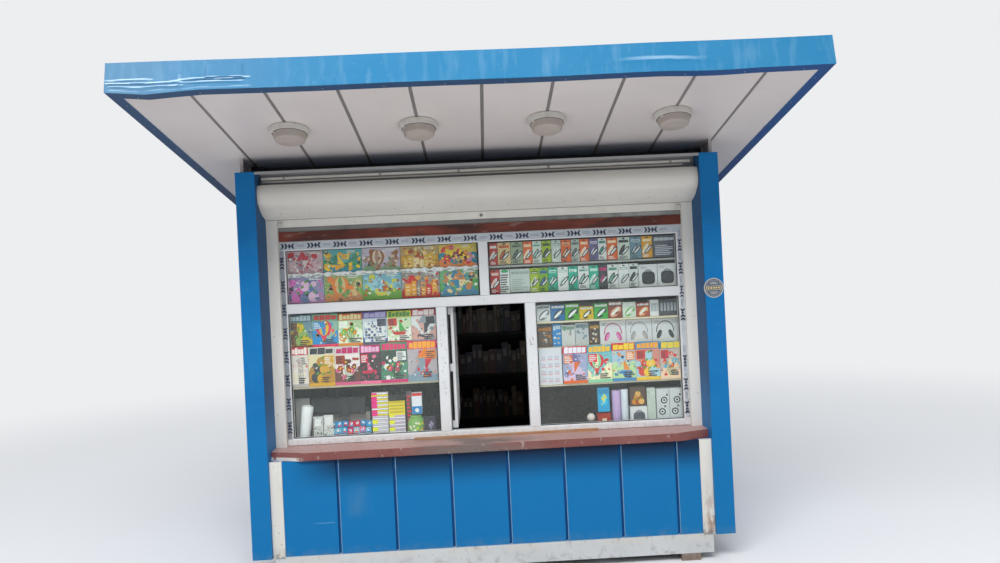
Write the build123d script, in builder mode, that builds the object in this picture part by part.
from build123d import *
import math
import os

# Street kiosk: a steel-framed sales hut with a single-slope roof that falls to the back, a deep
# front canopy, a shop window between two pillars and a roller shutter rolled up above it.
# Millimetres, +Z up, the front faces -Y, the origin is on the ground under the roof's centre.
# Most Y values are written as distances behind the pillars' front plane, and depth() places them.

# Body
body_width = 3000            # over the outer faces of the pillars
body_depth = 2100            # from the pillars' front to the back of the rear cladding
pad_height = 45              # bricks laid flat
pad_width = 120
pad_depth = 250
pad_inset = 85               # from the end of the base beam to the outer bricks
base_height = 120
base_end_gap = 12            # between the base beam's ends and the pillars' line
pillar_width = 120
pillar_depth = 230
pillar_height = 2388
front_setback = 30           # lower front cladding behind the pillars' front
cladding_inset = 15          # side and rear cladding inside the pillars' outer faces
wall_thickness = 80
tray_depth = 20              # folded cladding tray
tray_pitch = 353
tray_gap = 16
sheet = 3                    # folded steel sheet
floor_thickness = 24
fit_gap = 0.3                # between pieces that are set into each other

# Roof
roof_width = 3656
roof_run = 3200              # along the slope
roof_slope = 10.34           # degrees, down to the back
front_overhang = 900         # canopy in front of the pillars
canopy_edge_height = 2826    # from the ground to the canopy's lower front edge
fascia_height = 158          # square to the slope
fascia_flange = 60           # turned in under the canopy
fascia_return = 30           # turned in on top
ceiling_thickness = 10
deck_thickness = 90
roof_sheet_thickness = 2
roof_rib_height = 16
strip_pitch = 366            # between the joint strips of the ceiling
first_panel_width = 397      # from the roof's left edge to the first strip
strip_width = 14
strip_gap = 2

# Lamps under the canopy, one on every second joint strip
lamp_from_front = 555        # along the slope
lamp_base_radius = 110
lamp_base_height = 34
lamp_dome_radius = 96
lamp_dome_taper = 11         # the bowl is this much narrower where its side ends
lamp_dome_drop = 48
lamp_dome_crown = 17         # height of the rounded bottom

# Window wall
window_face = 230            # front of the window frame
frame_depth = 62
frame_bar = 66               # seen width of an outer bar
window_bottom = 808          # top of the counter
window_top = 2130
sill_bar_height = 44
transom_bottom = 1660
transom_height = 64
upper_mullion_x = 5
upper_mullion_width = 62
window_packer_width = 43     # between the frame and the side walls
hatch_left = -250
hatch_right = 261
mullion_width = 70
glass_thickness = 4
glass_setback = 26
glass_bite = 12              # glass held inside a bar
head_board_height = 61
head_board_depth = 30
head_filler_depth = 22
lintel_thickness = 60

# Hatch sash, opened inwards square to the window
sash_bar = 50
sash_thickness = 56
sash_gap = 4
sash_offset = 16             # of its hidden face behind the mullion's edge
sash_groove = 18             # for the fittings, along the sash's edge
sash_groove_depth = 9

# Shutter
shutter_front = 32
shutter_bottom = 2265
shutter_box_height = 210
rail_width = 70
rail_depth = 32
rail_slot = 15
rail_slot_depth = 42
end_cap_width = 9
end_cap_inset = 1.5          # the caps' edge inside the box's outline
bottom_bar_height = 44
bottom_bar_groove = 2

# Header above the shutter
header_drop = 17
header_depth = 120
header_cheek_front = 66      # side cladding over the pillars, up to the ceiling
header_beam_depth = 120
conduit_radius = 10
rod_radius = 6
middle_clip_xs = (-620, -125, 445)
end_clip_inset = 155         # from the pillar to the outer clips

# Counter
counter_thickness = 53
counter_front = 8
counter_splay_width = 212    # run of each slanted end
counter_end = 79
counter_inside = 450         # its back edge, inside the room
sill_beam_height = 60
batten_height = 14
batten_width = 22
batten_past_left = 245       # how far the batten runs on beside the hatch
batten_past_right = 439

# Display racks behind the window
rack_depth = 150
rack_board = 12
upper_shelf_z = 1912
left_shelf_zs = (1432, 1177)
right_shelf_zs = (1528, 1355, 1110)

# Goods on the racks
goods_gap = 3
goods_margin = 6             # free at each end of a row
card_thickness = 10          # hung cards with small goods
card_setback = 12            # behind the rack's front
carton_depth = 80
carton_setback = 20
top_card_height = 190
transom_card_height = 172
small_pack_height = 160
magazine_thickness = 8
magazine_height = 240
booklet_height = 215
album_height = 228
small_carton_height = 112
toy_carton_height = 152
toy_carton_setback = 40
twin_carton_width = 255      # the two cartons at the right end of the transom shelf
roll_space = 190             # left of the packs on the lower shelf
pack_stock_width = 260
pack_stock_height = 160
stack_stock_width = 225
stack_stock_height = 330
jar_stock_height = 165
open_space = 385             # left of the cartons on the right lower shelf
large_carton_height = 255

# Shelving along the rear wall
shelf_depth = 300
shelf_board = 18
shelf_bay_width = 870
shelving_wall_gap = 25
rear_shelf_height = 2026     # of the uprights, above the floor
rear_shelf_zs = (71, 451, 821, 1171, 1511, 1831)

# Door in the rear wall
door_side = 135              # wall between the opening and the right side wall
door_opening_width = 800
door_opening_height = 1915
door_frame_bar = 45
door_leaf_thickness = 44
door_gap = 3
door_handle_height = 1000

# Worked out
slope = math.radians(roof_slope)
base_top = pad_height + base_height
floor_top = base_top + floor_thickness
pillar_top = base_top + pillar_height
half_body = body_width / 2
pillar_inner = half_body - pillar_width
half_roof = roof_width / 2
roof_plan = roof_run * math.cos(slope) + fascia_height * math.sin(slope)
roof_front = -roof_plan / 2
front = roof_front + front_overhang
cladding_outer = half_body - cladding_inset
core_outer = cladding_outer - tray_depth
core_inner = core_outer - wall_thickness
rear_cladding = body_depth
rear_core = rear_cladding - tray_depth
rear_inner = rear_core - wall_thickness
base_half = pillar_inner - base_end_gap
shutter_top = shutter_bottom + shutter_box_height
lintel_face = window_face + 32
transom_top = transom_bottom + transom_height
sill_top = window_bottom + sill_bar_height
head_bar_bottom = window_top - frame_bar + 6
frame_back = window_face + frame_depth
glass_front = window_face + glass_setback
frame_outer = core_inner - window_packer_width
glass_half_width = frame_outer - frame_bar
counter_bottom = window_bottom - counter_thickness
strip_count = int((roof_width - first_panel_width - strip_width) // strip_pitch) + 1
strip_xs = [first_panel_width - half_roof + i * strip_pitch for i in range(strip_count)]

roof_plane = Plane(
    origin=(0, roof_front, canopy_edge_height),
    x_dir=(1, 0, 0),
    z_dir=(0, math.sin(slope), math.cos(slope)),
)


def depth(distance):
    """Y of a point that lies this far behind the pillars' front plane."""
    return front + distance


def ceiling_z(distance):
    """Height of the ceiling's underside this far behind the pillars' front plane."""
    along = distance + front_overhang
    return canopy_edge_height + sheet / math.cos(slope) - math.tan(slope) * along


def block(x, y, z, mode=Mode.ADD):
    """A rectangular block between two limits on each axis, y as depths."""
    middle = ((x[0] + x[1]) / 2, depth((y[0] + y[1]) / 2), (z[0] + z[1]) / 2)
    with Locations(middle):
        Box(x[1] - x[0], y[1] - y[0], z[1] - z[0], mode=mode)


def wall_side(y0, y1, z0):
    """The outline, seen from the side, of a wall that ends under the sloping ceiling."""
    Polygon(
        (depth(y0), z0), (depth(y1), z0),
        (depth(y1), ceiling_z(y1)), (depth(y0), ceiling_z(y0)), align=None,
    )


def cut_above_ceiling():
    """Cuts the open part off under the sloping ceiling."""
    under = Plane(
        origin=(0, depth(0), ceiling_z(0)), x_dir=roof_plane.x_dir, z_dir=roof_plane.z_dir
    )
    split(bisect_by=under, keep=Keep.BOTTOM)


def tray_outline(start, end, face, inward):
    """Plan of a folded tray along X, its face at a depth and its edges turned inwards."""
    inner = face + inward * sheet
    tip = face + inward * tray_depth
    Polygon(
        (start, depth(face)), (end, depth(face)), (end, depth(tip)),
        (end - sheet, depth(tip)), (end - sheet, depth(inner)),
        (start + sheet, depth(inner)), (start + sheet, depth(tip)),
        (start, depth(tip)), align=None,
    )


def side_tray_outline(start, end, face, inward):
    """Plan of a folded tray along Y, its face at an X value and its edges turned inwards."""
    inner = face + inward * sheet
    tip = face + inward * tray_depth
    Polygon(
        (face, depth(start)), (face, depth(end)), (tip, depth(end)),
        (tip, depth(end - sheet)), (inner, depth(end - sheet)),
        (inner, depth(start + sheet)), (tip, depth(start + sheet)),
        (tip, depth(start)), align=None,
    )


def bays(start, end, pitch, first):
    """Tray limits from start to end, with joints at first, first + pitch and so on."""
    joints = [first + i * pitch for i in range(40) if start < first + i * pitch < end]
    edges = [start] + joints + [end]
    return [
        (a + (tray_gap / 2 if a != start else 0), b - (tray_gap / 2 if b != end else 0))
        for a, b in zip(edges, edges[1:])
    ]


def keep(builder, name):
    """Labels a finished piece and writes its file."""
    builder.part.label = name
    export_step(builder.part, f"parts/{name}.step")


os.makedirs("parts", exist_ok=True)

# Supports, base frame and floor
outer_pad_x = base_half - pad_inset - pad_width / 2
beam_flange = 55
beam_web = 6
base_front = front_setback
base_back = rear_cladding - cladding_inset

with BuildPart() as support_pads:
    for x in (-outer_pad_x, 0, outer_pad_x):
        for y in (base_front, base_back - pad_depth):
            block((x - pad_width / 2, x + pad_width / 2), (y, y + pad_depth), (0, pad_height))
    chamfer(support_pads.edges().group_by(Axis.Z)[-1], 3)
keep(support_pads, "support_pads")

with BuildPart() as base_long_beams:
    for web, facing in ((base_front, 1), (base_back, -1)):
        tip = web + facing * beam_flange
        inner = web + facing * beam_web
        with BuildSketch(Plane.YZ.offset(-base_half)):
            with BuildLine():
                Polyline(
                    (depth(web), pad_height), (depth(tip), pad_height),
                    (depth(tip), pad_height + beam_web), (depth(inner), pad_height + beam_web),
                    (depth(inner), base_top - beam_web), (depth(tip), base_top - beam_web),
                    (depth(tip), base_top), (depth(web), base_top), close=True,
                )
            make_face()
        extrude(amount=2 * base_half)
keep(base_long_beams, "base_long_beams")

joist_half = 25
with BuildPart() as base_cross_beams:
    for share in (-1, -0.5, 0, 0.5, 1):
        x = share * (base_half - joist_half)
        block((x - joist_half, x + joist_half),
              (base_front + beam_flange, base_back - beam_flange), (pad_height, base_top))
keep(base_cross_beams, "base_cross_beams")

apron_core_back = front_setback + tray_depth + wall_thickness
with BuildPart() as floor_deck:
    block((-base_half, base_half), (apron_core_back, rear_inner - fit_gap),
          (base_top, floor_top))
keep(floor_deck, "floor_deck")

# Pillars: folded steel boxes, each closed by a foot plate and a top plate
for side, name in ((-1, "pillar_left"), (1, "pillar_right")):
    x = sorted((side * pillar_inner, side * half_body))
    inside = (x[0] + sheet, x[1] - sheet)
    with BuildPart() as pillar:
        block(x, (0, pillar_depth), (base_top, pillar_top))
        fillet(pillar.edges().filter_by(Axis.Z), sheet)
        block(inside, (sheet, pillar_depth - sheet),
              (base_top + sheet, pillar_top - sheet), mode=Mode.SUBTRACT)
    keep(pillar, name)

# Lower front: insulated core, folded trays, a trim at each end
trim_width = 77
trim_inner = pillar_inner - trim_width
first_tray_width = 337
apron_first_joint = first_tray_width - trim_inner
with BuildPart() as apron_core:
    block((-pillar_inner, pillar_inner), (front_setback + tray_depth, apron_core_back),
          (base_top, counter_bottom))
keep(apron_core, "apron_core")

with BuildPart() as apron_panels:
    with BuildSketch(Plane.XY.offset(base_top)):
        for start, end in bays(-trim_inner, trim_inner, tray_pitch, apron_first_joint):
            tray_outline(start, end, front_setback, 1)
    extrude(amount=counter_bottom - base_top)
keep(apron_panels, "apron_panels")

trim_proud = 8
with BuildPart() as apron_trims:
    for side in (-1, 1):
        x = sorted((side * (trim_inner + fit_gap), side * pillar_inner))
        block(x, (front_setback - trim_proud, front_setback + tray_depth),
              (base_top, counter_bottom))
    fillet(apron_trims.edges().filter_by(Axis.Z).group_by(Axis.Y)[0], 3)
keep(apron_trims, "apron_trims")

# Side walls
corner_trim = 110
for side, word in ((-1, "left"), (1, "right")):
    with BuildPart() as side_core:
        with BuildSketch(Plane.YZ.offset(min(side * core_inner, side * core_outer))):
            wall_side(pillar_depth, rear_core, base_top)
        extrude(amount=wall_thickness)
    keep(side_core, f"side_wall_{word}")

with BuildPart() as side_cladding:
    limits = bays(pillar_depth, rear_cladding - corner_trim, tray_pitch,
                  pillar_depth + tray_pitch)
    with BuildSketch(Plane.XY.offset(base_top)):
        for side in (-1, 1):
            for start, end in limits:
                side_tray_outline(start, end, side * cladding_outer, -side)
    extrude(amount=canopy_edge_height - base_top)
    with BuildSketch(Plane.XY.offset(pillar_top)):
        for side in (-1, 1):
            side_tray_outline(header_cheek_front, pillar_depth - fit_gap,
                              side * cladding_outer, -side)
    extrude(amount=canopy_edge_height - pillar_top)
    cut_above_ceiling()
keep(side_cladding, "side_cladding")

# Rear wall, split beside and over the door
door_right = core_inner - door_side
door_left = door_right - door_opening_width
door_top = floor_top + door_opening_height
rear_parts = (
    ("rear_wall_left", -core_inner + fit_gap, door_left, base_top),
    ("rear_wall_right", door_right, core_inner - fit_gap, base_top),
    ("rear_wall_over_door", door_left + fit_gap, door_right - fit_gap, door_top),
)
for name, x0, x1, z0 in rear_parts:
    with BuildPart() as rear_core_part:
        with BuildSketch(Plane.YZ.offset(x0)):
            wall_side(rear_inner, rear_core, z0)
        extrude(amount=x1 - x0)
    keep(rear_core_part, name)

rear_edge = cladding_outer - corner_trim
with BuildPart() as rear_cladding_part:
    with BuildSketch(Plane.XY.offset(base_top)):
        for start, end in bays(-rear_edge, door_left, tray_pitch, -rear_edge + tray_pitch):
            tray_outline(start, end, rear_cladding, -1)
        tray_outline(door_right, rear_edge, rear_cladding, -1)
    extrude(amount=canopy_edge_height - base_top)
    with BuildSketch(Plane.XY.offset(door_top)):
        tray_outline(door_left + tray_gap, door_right - tray_gap, rear_cladding, -1)
    extrude(amount=canopy_edge_height - door_top)
    with BuildSketch(Plane.XY.offset(base_top)):
        for side in (-1, 1):
            outer = side * cladding_outer
            Polygon(
                (outer, depth(rear_cladding - corner_trim + fit_gap)),
                (outer, depth(rear_cladding)),
                (side * (rear_edge + fit_gap), depth(rear_cladding)),
                (side * (rear_edge + fit_gap), depth(rear_core)),
                (side * core_outer, depth(rear_core)),
                (side * core_outer, depth(rear_cladding - corner_trim + fit_gap)),
                align=None,
            )
    extrude(amount=canopy_edge_height - base_top)
    cut_above_ceiling()
keep(rear_cladding_part, "rear_cladding")

# Door
frame_z = (floor_top, door_top)
frame_y = (rear_inner, rear_cladding)
with BuildPart() as door_frame:
    block((door_left + fit_gap, door_right - fit_gap), frame_y, (frame_z[0], door_top - fit_gap))
    block((door_left + door_frame_bar, door_right - door_frame_bar),
          (rear_inner - 1, rear_cladding + 1),
          (frame_z[0] - 1, door_top - door_frame_bar), mode=Mode.SUBTRACT)
keep(door_frame, "door_frame")

leaf_x = (door_left + door_frame_bar + door_gap, door_right - door_frame_bar - door_gap)
leaf_y = (rear_cladding - door_leaf_thickness, rear_cladding)
leaf_z = (floor_top + door_gap, door_top - door_frame_bar - door_gap)
leaf_margin = 110            # plain border round the door's two pressed panels
low_panel_height = 700
panel_press = 6
low_panel_top = leaf_z[0] + leaf_margin + low_panel_height
with BuildPart() as door_leaf:
    block(leaf_x, leaf_y, leaf_z)
    for z in ((leaf_z[0] + leaf_margin, low_panel_top),
              (low_panel_top + leaf_margin, leaf_z[1] - leaf_margin)):
        block((leaf_x[0] + leaf_margin, leaf_x[1] - leaf_margin),
              (leaf_y[1] - panel_press, leaf_y[1] + 1), z, mode=Mode.SUBTRACT)
keep(door_leaf, "door_leaf")

hinge_radius = 8
hinge_length = 90
hinge_plate = 28
hinge_inset = 200            # from the leaf's ends to the middle of each hinge
hinge_x = leaf_x[1] + door_gap / 2
with BuildPart() as door_hinges:
    for z in (leaf_z[0] + hinge_inset, leaf_z[1] - hinge_inset):
        with Locations((hinge_x, depth(rear_cladding) + hinge_radius, z)):
            Cylinder(hinge_radius, hinge_length)
        block((hinge_x - hinge_plate, hinge_x + hinge_plate),
              (rear_cladding, rear_cladding + sheet),
              (z - hinge_length / 2, z + hinge_length / 2))
keep(door_hinges, "door_hinges")

handle_z = floor_top + door_handle_height
handle_inset = 45            # from the leaf's edge to the middle of the plate
plate_width = 36
plate_height = 200
plate_thickness = 8
neck_radius = 8
neck_length = 48
lever_length = 120
lever_width = 18
lever_thickness = 14
lever_rise = 40              # of the lever above the plate's middle
handle_x = leaf_x[0] + handle_inset
with BuildPart() as door_handle:
    with Locations((handle_x, depth(leaf_y[1] + plate_thickness / 2), handle_z)):
        Box(plate_width, plate_thickness, plate_height)
    with Locations((handle_x, depth(leaf_y[1] + plate_thickness + neck_length / 2 - lever_thickness / 2),
                    handle_z + lever_rise)):
        Cylinder(neck_radius, neck_length - lever_thickness / 2, rotation=(90, 0, 0))
    with Locations((handle_x + lever_length / 2 - neck_radius,
                    depth(leaf_y[1] + neck_length), handle_z + lever_rise)):
        Box(lever_length, lever_thickness, lever_width)
    chamfer(door_handle.edges().filter_by(Axis.X).group_by(Axis.Y)[-1], 3)
keep(door_handle, "door_handle")

# Header and lintel over the window
lintel_back = lintel_face + lintel_thickness
with BuildPart() as lintel_wall:
    with BuildSketch(Plane.YZ.offset(-core_inner + fit_gap)):
        wall_side(lintel_face, lintel_back, window_top)
    extrude(amount=2 * (core_inner - fit_gap))
keep(lintel_wall, "lintel_wall")

with BuildPart() as header_beam:
    with BuildSketch(Plane.YZ.offset(-core_inner + fit_gap)):
        wall_side(lintel_back, lintel_back + header_beam_depth, pillar_top)
    extrude(amount=2 * (core_inner - fit_gap))
keep(header_beam, "header_beam")

with BuildPart() as header_cladding:
    with BuildSketch(Plane.YZ.offset(-pillar_inner + fit_gap)):
        with BuildLine():
            Polyline(
                (depth(0), pillar_top - header_drop), (depth(0), pillar_top),
                (depth(header_depth), pillar_top), (depth(header_depth), shutter_top),
                (depth(header_depth - sheet), shutter_top),
                (depth(header_depth - sheet), pillar_top - sheet),
                (depth(sheet), pillar_top - sheet),
                (depth(sheet), pillar_top - header_drop), close=True,
            )
        make_face()
    extrude(amount=2 * (pillar_inner - fit_gap))
keep(header_cladding, "header_cladding")

header_face = header_depth - sheet
conduit_depth = header_face - conduit_radius - fit_gap
conduit_z = pillar_top - header_drop - conduit_radius - 4
clip_wall = 3
clip_width = 16
clip_outer = conduit_radius + clip_wall
rod_z = conduit_z - clip_outer - rod_radius - 1
conduit_length = 2 * pillar_inner - 40
rod_length = 2 * pillar_inner - 90
with BuildPart() as conduits:
    with Locations((-8, depth(conduit_depth), conduit_z)):
        Cylinder(conduit_radius, conduit_length, rotation=(0, 90, 0))
    with Locations((-30, depth(header_face - rod_radius - fit_gap), rod_z)):
        Cylinder(rod_radius, rod_length, rotation=(0, 90, 0))
keep(conduits, "conduits")

clip_bore = conduit_radius + fit_gap
end_clip_x = pillar_inner - end_clip_inset
with BuildPart() as conduit_clips:
    for x in (-end_clip_x, *middle_clip_xs, end_clip_x):
        with BuildSketch(Plane.YZ.offset(x - clip_width / 2)):
            with BuildLine():
                Polyline(
                    (depth(conduit_depth), conduit_z + clip_bore),
                    (depth(header_face), conduit_z + clip_bore),
                    (depth(header_face), conduit_z + clip_outer),
                    (depth(conduit_depth), conduit_z + clip_outer),
                )
                ThreePointArc(
                    (depth(conduit_depth), conduit_z + clip_outer),
                    (depth(conduit_depth - clip_outer), conduit_z),
                    (depth(conduit_depth), conduit_z - clip_outer),
                )
                Polyline(
                    (depth(conduit_depth), conduit_z - clip_outer),
                    (depth(header_face), conduit_z - clip_outer),
                    (depth(header_face), conduit_z - clip_bore),
                    (depth(conduit_depth), conduit_z - clip_bore),
                )
                ThreePointArc(
                    (depth(conduit_depth), conduit_z - clip_bore),
                    (depth(conduit_depth - clip_bore), conduit_z),
                    (depth(conduit_depth), conduit_z + clip_bore),
                )
            make_face()
        extrude(amount=clip_width)
keep(conduit_clips, "conduit_clips")

# Roller shutter: a roll-formed box between two end caps, bottom bar rolled up to its slot
box_half = pillar_inner - fit_gap
cover_half = box_half - end_cap_width
top_front = (depth(shutter_front + 17), shutter_top)
bulge = (depth(shutter_front), shutter_top - 70)
low_front = (depth(shutter_front + 9), shutter_bottom + 100)
turn_under = (depth(shutter_front + 74), shutter_bottom + 42)
lip_top = (depth(shutter_front + 158), shutter_bottom + 10)
lip_bottom = (depth(shutter_front + 164), shutter_bottom)
low_back = (depth(lintel_face), shutter_bottom)
top_back = (depth(lintel_face), shutter_top)
slot_middle = window_face - rail_depth / 2
slot_half = rail_slot / 2 + fit_gap
slot_height = 30

with BuildPart() as shutter_box:
    with BuildSketch(Plane.YZ.offset(-cover_half)):
        with BuildLine():
            ThreePointArc(top_front, bulge, low_front)
            ThreePointArc(low_front, turn_under, lip_top)
            Polyline(lip_top, lip_bottom, low_back, top_back, top_front)
        make_face()
    extrude(amount=2 * cover_half)
    block((-cover_half, cover_half), (slot_middle - slot_half, slot_middle + slot_half),
          (shutter_bottom, shutter_bottom + slot_height), mode=Mode.SUBTRACT)
keep(shutter_box, "shutter_box")

with BuildPart() as shutter_end_caps:
    for start in (-box_half, cover_half + fit_gap):
        with BuildSketch(Plane.YZ.offset(start)):
            with BuildLine():
                ThreePointArc(top_front, bulge, low_front)
                ThreePointArc(low_front, turn_under, lip_top)
                Polyline(lip_top, lip_bottom, low_back, top_back, top_front)
            make_face()
            offset(amount=-end_cap_inset, mode=Mode.REPLACE)
        extrude(amount=end_cap_width - fit_gap)
keep(shutter_end_caps, "shutter_end_caps")

bar_half = pillar_inner - rail_width + rail_slot_depth - 5
bar_top = shutter_bottom - fit_gap
bar_bottom = bar_top - bottom_bar_height
bar_front = slot_middle - rail_slot / 2 + fit_gap
bar_back = slot_middle + rail_slot / 2 - fit_gap
groove_height = 5
groove_inset = 9
with BuildPart() as shutter_bottom_bar:
    block((-bar_half, bar_half), (bar_front, bar_back), (bar_bottom, bar_top))
    for z in (bar_bottom + groove_inset, bar_top - groove_inset - groove_height):
        block((-bar_half, bar_half), (bar_front, bar_front + bottom_bar_groove),
              (z, z + groove_height), mode=Mode.SUBTRACT)
keep(shutter_bottom_bar, "shutter_bottom_bar")

with BuildPart() as shutter_rails:
    for side in (-1, 1):
        outer = side * (pillar_inner - fit_gap)
        inner = side * (pillar_inner - rail_width)
        slot_end = inner + side * rail_slot_depth
        with BuildSketch(Plane.XY.offset(window_bottom)):
            Polygon(
                (outer, depth(window_face - rail_depth)),
                (inner, depth(window_face - rail_depth)),
                (inner, depth(slot_middle - rail_slot / 2)),
                (slot_end, depth(slot_middle - rail_slot / 2)),
                (slot_end, depth(slot_middle + rail_slot / 2)),
                (inner, depth(slot_middle + rail_slot / 2)),
                (inner, depth(window_face)), (outer, depth(window_face)), align=None,
            )
        extrude(amount=shutter_bottom - window_bottom)
keep(shutter_rails, "shutter_rails")

# Board and filler over the window
with BuildPart() as head_board:
    block((-core_inner + fit_gap, core_inner - fit_gap),
          (lintel_face - head_board_depth, lintel_face),
          (window_top, window_top + head_board_height))
keep(head_board, "head_board")

with BuildPart() as head_filler:
    block((-core_inner + fit_gap, core_inner - fit_gap),
          (lintel_face - head_filler_depth, lintel_face),
          (window_top + head_board_height, shutter_bottom))
keep(head_filler, "head_filler")

# Glass panes, each by the daylight width and height that it closes
upper_z = (transom_top, head_bar_bottom)
lower_z = (sill_top, transom_bottom)
panes = [
    ((-glass_half_width, upper_mullion_x - upper_mullion_width / 2), upper_z),
    ((upper_mullion_x + upper_mullion_width / 2, glass_half_width), upper_z),
    ((-glass_half_width, hatch_left - mullion_width), lower_z),
    ((hatch_right + mullion_width, glass_half_width), lower_z),
]
glass_y = (glass_front, glass_front + glass_thickness)


def glazing_grooves():
    """Cuts the grooves that hold the panes out of the open part."""
    for x, z in panes:
        block((x[0] - glass_bite - fit_gap, x[1] + glass_bite + fit_gap),
              (glass_y[0] - fit_gap, glass_y[1] + fit_gap),
              (z[0] - glass_bite - fit_gap, z[1] + glass_bite + fit_gap), mode=Mode.SUBTRACT)


with BuildPart() as window_glass:
    for x, z in panes:
        block((x[0] - glass_bite, x[1] + glass_bite), glass_y,
              (z[0] - glass_bite, z[1] + glass_bite))
keep(window_glass, "window_glass")

# Window frame, bar by bar
frame_y = (window_face, frame_back)
bar_chamfer = 5


def frame_bars(name, limits, run):
    """One or more bars of the window frame, chamfered along their front edges."""
    with BuildPart() as bars:
        for x, z in limits:
            block(x, frame_y, z)
        chamfer(bars.edges().filter_by(run).group_by(Axis.Y)[0], bar_chamfer)
        glazing_grooves()
    keep(bars, name)


frame_bars("window_head_bar", [((-frame_outer, frame_outer), (head_bar_bottom, window_top))],
           Axis.X)
frame_bars("window_sill_bar", [((-frame_outer, frame_outer), (window_bottom, sill_top))],
           Axis.X)
frame_bars(
    "window_jambs",
    [((-frame_outer, -glass_half_width), (sill_top, head_bar_bottom)),
     ((glass_half_width, frame_outer), (sill_top, head_bar_bottom))],
    Axis.Z,
)
frame_bars("window_transom",
           [((-glass_half_width, glass_half_width), (transom_bottom, transom_top))], Axis.X)
frame_bars(
    "window_upper_mullion",
    [((upper_mullion_x - upper_mullion_width / 2, upper_mullion_x + upper_mullion_width / 2),
      (transom_top, head_bar_bottom))],
    Axis.Z,
)
frame_bars(
    "window_lower_mullions",
    [((hatch_left - mullion_width, hatch_left), (sill_top, transom_bottom)),
     ((hatch_right, hatch_right + mullion_width), (sill_top, transom_bottom))],
    Axis.Z,
)

with BuildPart() as window_packers:
    for side in (-1, 1):
        x = sorted((side * (frame_outer + fit_gap), side * (core_inner - fit_gap)))
        block(x, frame_y, (window_bottom, window_top))
keep(window_packers, "window_packers")

# Hatch sash, standing open square to the window, with its pane and hinges
sash_x = (hatch_left - sash_offset, hatch_left - sash_offset + sash_thickness)
sash_y = (frame_back + sash_gap, frame_back + sash_gap + hatch_right - hatch_left - 8)
sash_z = (sill_top + sash_gap, transom_bottom - sash_gap)
sash_glass_x = (sash_x[0] + glass_setback, sash_x[0] + glass_setback + glass_thickness)
sash_groove_x = (sash_x[0] + (sash_thickness - sash_groove) / 2,
                 sash_x[0] + (sash_thickness + sash_groove) / 2)
with BuildPart() as hatch_sash:
    block(sash_x, sash_y, sash_z)
    chamfer(hatch_sash.edges(), 4)
    sash_middle = (sash_z[0] + sash_z[1]) / 2
    for z in ((sash_z[0] + sash_bar, sash_middle - sash_bar / 2),
              (sash_middle + sash_bar / 2, sash_z[1] - sash_bar)):
        block(sash_groove_x, (sash_y[0] - 1, sash_y[0] + sash_groove_depth), z,
              mode=Mode.SUBTRACT)
    block((sash_x[0] - 1, sash_x[1] + 1), (sash_y[0] + sash_bar, sash_y[1] - sash_bar),
          (sash_z[0] + sash_bar, sash_z[1] - sash_bar), mode=Mode.SUBTRACT)
    block((sash_glass_x[0] - fit_gap, sash_glass_x[1] + fit_gap),
          (sash_y[0] + sash_bar - glass_bite - fit_gap,
           sash_y[1] - sash_bar + glass_bite + fit_gap),
          (sash_z[0] + sash_bar - glass_bite - fit_gap,
           sash_z[1] - sash_bar + glass_bite + fit_gap), mode=Mode.SUBTRACT)
keep(hatch_sash, "hatch_sash")

with BuildPart() as hatch_glass:
    block(sash_glass_x, (sash_y[0] + sash_bar - glass_bite, sash_y[1] - sash_bar + glass_bite),
          (sash_z[0] + sash_bar - glass_bite, sash_z[1] - sash_bar + glass_bite))
keep(hatch_glass, "hatch_glass")

pin_radius = 7
pin_length = 70
pin_inset = 120
with BuildPart() as hatch_hinges:
    for z in (sash_z[0] + pin_inset, sash_z[1] - pin_inset):
        with Locations((sash_x[0] - pin_radius, depth(frame_back + pin_radius), z)):
            Cylinder(pin_radius, pin_length)
keep(hatch_hinges, "hatch_hinges")

# Counter
with BuildPart() as counter_shelf:
    with BuildSketch(Plane.XY.offset(counter_bottom)):
        with BuildLine():
            end_x = pillar_inner - fit_gap
            corner_x = pillar_inner - counter_splay_width
            Polyline(
                (-corner_x, depth(counter_front)),
                (corner_x, depth(counter_front)),
                (end_x, depth(counter_end)), (end_x, depth(counter_inside)),
                (-end_x, depth(counter_inside)), (-end_x, depth(counter_end)), close=True,
            )
        make_face()
    extrude(amount=counter_thickness)
    fillet(counter_shelf.edges().filter_by(Axis.X).group_by(Axis.Y)[0], 5)
keep(counter_shelf, "counter_shelf")

with BuildPart() as counter_batten:
    block((hatch_left - batten_past_left, hatch_right + batten_past_right),
          (window_face - batten_width, window_face - fit_gap),
          (window_bottom, window_bottom + batten_height))
keep(counter_batten, "counter_batten")

with BuildPart() as sill_beam:
    block((-core_inner + fit_gap, core_inner - fit_gap), (window_face, frame_back),
          (counter_bottom - sill_beam_height, counter_bottom))
keep(sill_beam, "sill_beam")

# Display racks behind the window, and the rows of goods on them
rack_front = frame_back + fit_gap
rack_y = (rack_front, rack_front + rack_depth)
left_rack_x = (-glass_half_width, hatch_left - mullion_width)
right_rack_x = (hatch_right + mullion_width, glass_half_width)
full_rack_x = (-glass_half_width, glass_half_width)

with BuildPart() as display_shelves:
    for x, tops in ((full_rack_x, (transom_top, upper_shelf_z)),
                    (left_rack_x, left_shelf_zs), (right_rack_x, right_shelf_zs)):
        for z in tops:
            block(x, rack_y, (z - rack_board, z))
keep(display_shelves, "display_shelves")


def goods_row(x, z, height, count, setback, thickness):
    """Equal cards or cartons side by side on a shelf, some way behind its front edge."""
    pitch = (x[1] - x[0]) / count
    front_face = rack_front + setback
    for i in range(count):
        start = x[0] + i * pitch
        block((start + goods_gap / 2, start + pitch - goods_gap / 2),
              (front_face, front_face + thickness), (z, z + height))


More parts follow.
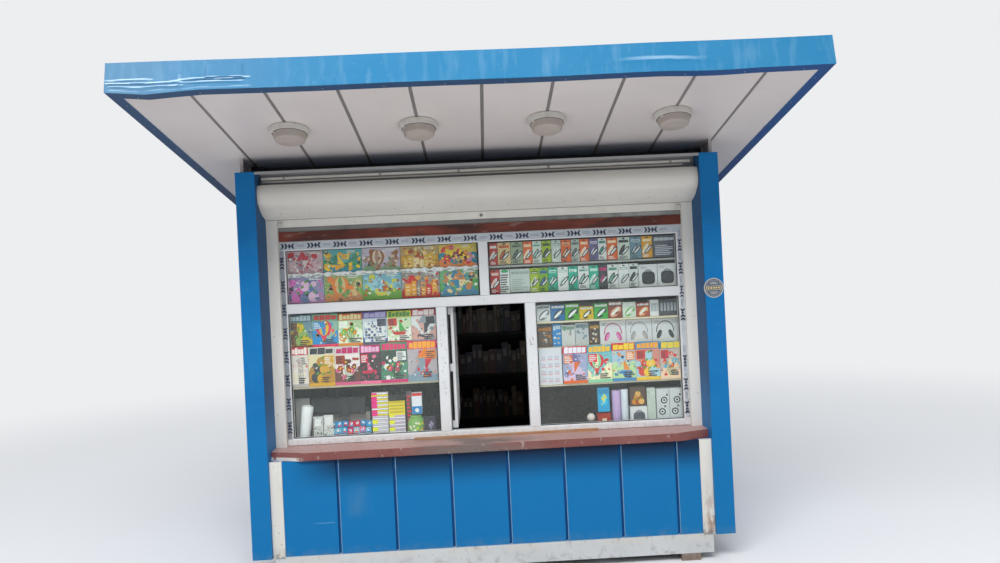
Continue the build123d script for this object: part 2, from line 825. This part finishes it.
upper_left_x = (-glass_half_width + goods_margin,
                upper_mullion_x - upper_mullion_width / 2 - goods_margin)
upper_right_x = (upper_mullion_x + upper_mullion_width / 2 + goods_margin,
                 glass_half_width - goods_margin)
twin_x = (upper_right_x[1] - twin_carton_width, upper_right_x[1])
upper_rows = (
    (upper_left_x, transom_top, transom_card_height, 5, card_setback, card_thickness),
    (upper_left_x, upper_shelf_z, top_card_height, 5, card_setback, card_thickness),
    ((upper_right_x[0], twin_x[0]), transom_top, transom_card_height, 15, card_setback,
     card_thickness),
    (twin_x, transom_top, transom_card_height, 2, carton_setback, carton_depth),
    (upper_right_x, upper_shelf_z, small_pack_height, 17, card_setback, card_thickness),
)
with BuildPart() as goods_upper:
    for row in upper_rows:
        goods_row(*row)
keep(goods_upper, "goods_upper")

left_x = (left_rack_x[0] + goods_margin, left_rack_x[1] - goods_margin)
right_x = (right_rack_x[0] + goods_margin, right_rack_x[1] - goods_margin)
pack_x = (left_x[0] + roll_space, left_x[0] + roll_space + pack_stock_width)
stack_x = (pack_x[1] + goods_margin, pack_x[1] + goods_margin + stack_stock_width)
jar_x = (stack_x[1] + goods_margin, left_x[1])
large_carton_x = (right_x[0] + open_space, right_x[1])
lower_rows = (
    (left_x, left_shelf_zs[0], booklet_height, 6, card_setback, magazine_thickness),
    (left_x, left_shelf_zs[1], magazine_height, 6, card_setback, magazine_thickness),
    (pack_x, window_bottom, pack_stock_height, 3, carton_setback, carton_depth),
    (stack_x, window_bottom, stack_stock_height, 2, carton_setback, carton_depth),
    (jar_x, window_bottom, jar_stock_height, 2, carton_setback, carton_depth),
    (right_x, right_shelf_zs[0], small_carton_height, 10, card_setback, carton_depth),
    (right_x, right_shelf_zs[1], toy_carton_height, 7, toy_carton_setback, carton_depth),
    (right_x, right_shelf_zs[2], album_height, 6, card_setback, magazine_thickness),
    (large_carton_x, window_bottom, large_carton_height, 5, carton_setback, carton_depth),
)
with BuildPart() as goods_lower:
    for row in lower_rows:
        goods_row(*row)
keep(goods_lower, "goods_lower")

# Shelving along the rear wall
shelving_start = shelving_wall_gap - core_inner
upright_xs = [shelving_start + i * shelf_bay_width for i in range(3)]
shelf_y = (rear_inner - shelf_depth, rear_inner)
with BuildPart() as rear_shelf_uprights:
    for x in upright_xs:
        block((x - shelf_board / 2, x + shelf_board / 2), shelf_y,
              (floor_top, floor_top + rear_shelf_height - shelf_board))
keep(rear_shelf_uprights, "rear_shelf_uprights")

with BuildPart() as rear_shelves:
    for x0, x1 in zip(upright_xs, upright_xs[1:]):
        for height in rear_shelf_zs:
            z = floor_top + height
            block((x0 + shelf_board / 2, x1 - shelf_board / 2), shelf_y, (z, z + shelf_board))
keep(rear_shelves, "rear_shelves")

# Roof: ceiling panels with joint strips, insulated deck, ribbed sheet, folded fascia
roof_half_inside = half_roof - sheet - fit_gap
roof_near = sheet + fit_gap
roof_far = roof_run - sheet - fit_gap


def on_roof(x, y, z):
    """A block in the roof's own frame: across, down the slope, up from its lower face."""
    middle = ((x[0] + x[1]) / 2, (y[0] + y[1]) / 2, (z[0] + z[1]) / 2)
    with Locations(roof_plane.location * Location(middle)):
        Box(x[1] - x[0], y[1] - y[0], z[1] - z[0])


ceiling_z_range = (sheet, sheet + ceiling_thickness)
panel_edges = [-roof_half_inside] + strip_xs + [roof_half_inside]
with BuildPart() as ceiling_panels:
    for a, b in zip(panel_edges, panel_edges[1:]):
        x0 = a if a == panel_edges[0] else a + strip_width / 2 + strip_gap
        x1 = b if b == panel_edges[-1] else b - strip_width / 2 - strip_gap
        on_roof((x0, x1), (roof_near, roof_far), ceiling_z_range)
keep(ceiling_panels, "ceiling_panels")

with BuildPart() as ceiling_joint_strips:
    for x in strip_xs:
        on_roof((x - strip_width / 2, x + strip_width / 2), (roof_near, roof_far),
                ceiling_z_range)
keep(ceiling_joint_strips, "ceiling_joint_strips")

deck_z = (ceiling_z_range[1], ceiling_z_range[1] + deck_thickness)
with BuildPart() as roof_deck:
    on_roof((-roof_half_inside, roof_half_inside), (roof_near, roof_far), deck_z)
keep(roof_deck, "roof_deck")

rib_foot = 60
rib_crown = 30
with BuildPart() as roof_sheet:
    profile_plane = Plane(
        origin=roof_plane.from_local_coords((0, roof_near, deck_z[1])),
        x_dir=roof_plane.x_dir, z_dir=-roof_plane.y_dir,
    )
    with BuildSketch(profile_plane):
        with BuildLine():
            top = []
            for x in strip_xs:
                top += [(x - rib_foot / 2, 0), (x - rib_crown / 2, roof_rib_height),
                        (x + rib_crown / 2, roof_rib_height), (x + rib_foot / 2, 0)]
            upper = [(-roof_half_inside, 0)] + top + [(roof_half_inside, 0)]
            raised = [(x, z + roof_sheet_thickness) for x, z in reversed(upper)]
            Polyline(*upper, *raised, close=True)
        make_face()
    extrude(amount=-(roof_far - roof_near))
keep(roof_sheet, "roof_sheet")


across = roof_plane.x_dir
down = roof_plane.y_dir
fascia_sides = (
    ("fascia_front", (-half_roof, 0), down, across, roof_width),
    ("fascia_rear", (half_roof, roof_run), -down, -across, roof_width),
    ("fascia_left", (-half_roof, roof_run), across, -down, roof_run),
    ("fascia_right", (half_roof, 0), -across, down, roof_run),
)
for name, corner, inward, along, length in fascia_sides:
    origin = roof_plane.from_local_coords((*corner, 0))
    far_end = origin + along * length
    with BuildPart() as fascia:
        with BuildSketch(Plane(origin=origin, x_dir=inward, z_dir=along)):
            Polygon(
                (0, 0), (fascia_flange, 0), (fascia_flange, sheet), (sheet, sheet),
                (sheet, fascia_height - sheet), (fascia_return, fascia_height - sheet),
                (fascia_return, fascia_height), (0, fascia_height), align=None,
            )
        extrude(amount=length)
        for point, into in ((origin, along), (far_end, -along)):
            normal = (into - inward).normalized()
            split(bisect_by=Plane(origin=point + normal * fit_gap / 2, z_dir=normal),
                  keep=Keep.TOP)
    keep(fascia, name)

# Lamps
lamp_planes = [
    Plane(origin=roof_plane.from_local_coords((x, lamp_from_front, sheet)),
          x_dir=roof_plane.x_dir, z_dir=-roof_plane.z_dir)
    for x in strip_xs[1::2]
]
with BuildPart() as lamp_base:
    with BuildSketch(Plane.XZ):
        with BuildLine():
            Polyline(
                (0, 0), (lamp_base_radius - 4, 0), (lamp_base_radius, 6),
                (lamp_base_radius - 4, lamp_base_height), (0, lamp_base_height), close=True,
            )
        make_face()
    revolve(axis=Axis.Z)
with BuildPart() as lamp_dome:
    with BuildSketch(Plane.XZ):
        with BuildLine():
            low = lamp_base_height + lamp_dome_drop
            side_end = (lamp_dome_radius - lamp_dome_taper, low - lamp_dome_crown)
            shoulder_end = (side_end[0] - 16, low - 4)
            Polyline((0, lamp_base_height), (lamp_dome_radius, lamp_base_height), side_end,
                     shoulder_end)
            TangentArc((0, low), shoulder_end, tangent=(1, 0))
            Line((0, low), (0, lamp_base_height))
        make_face()
    revolve(axis=Axis.Z)
for piece, name in ((lamp_base, "lamp_bases"), (lamp_dome, "lamp_domes")):
    with BuildPart() as lamps:
        with Locations(*[plane.location for plane in lamp_planes]):
            add(piece.part)
    keep(lamps, name)
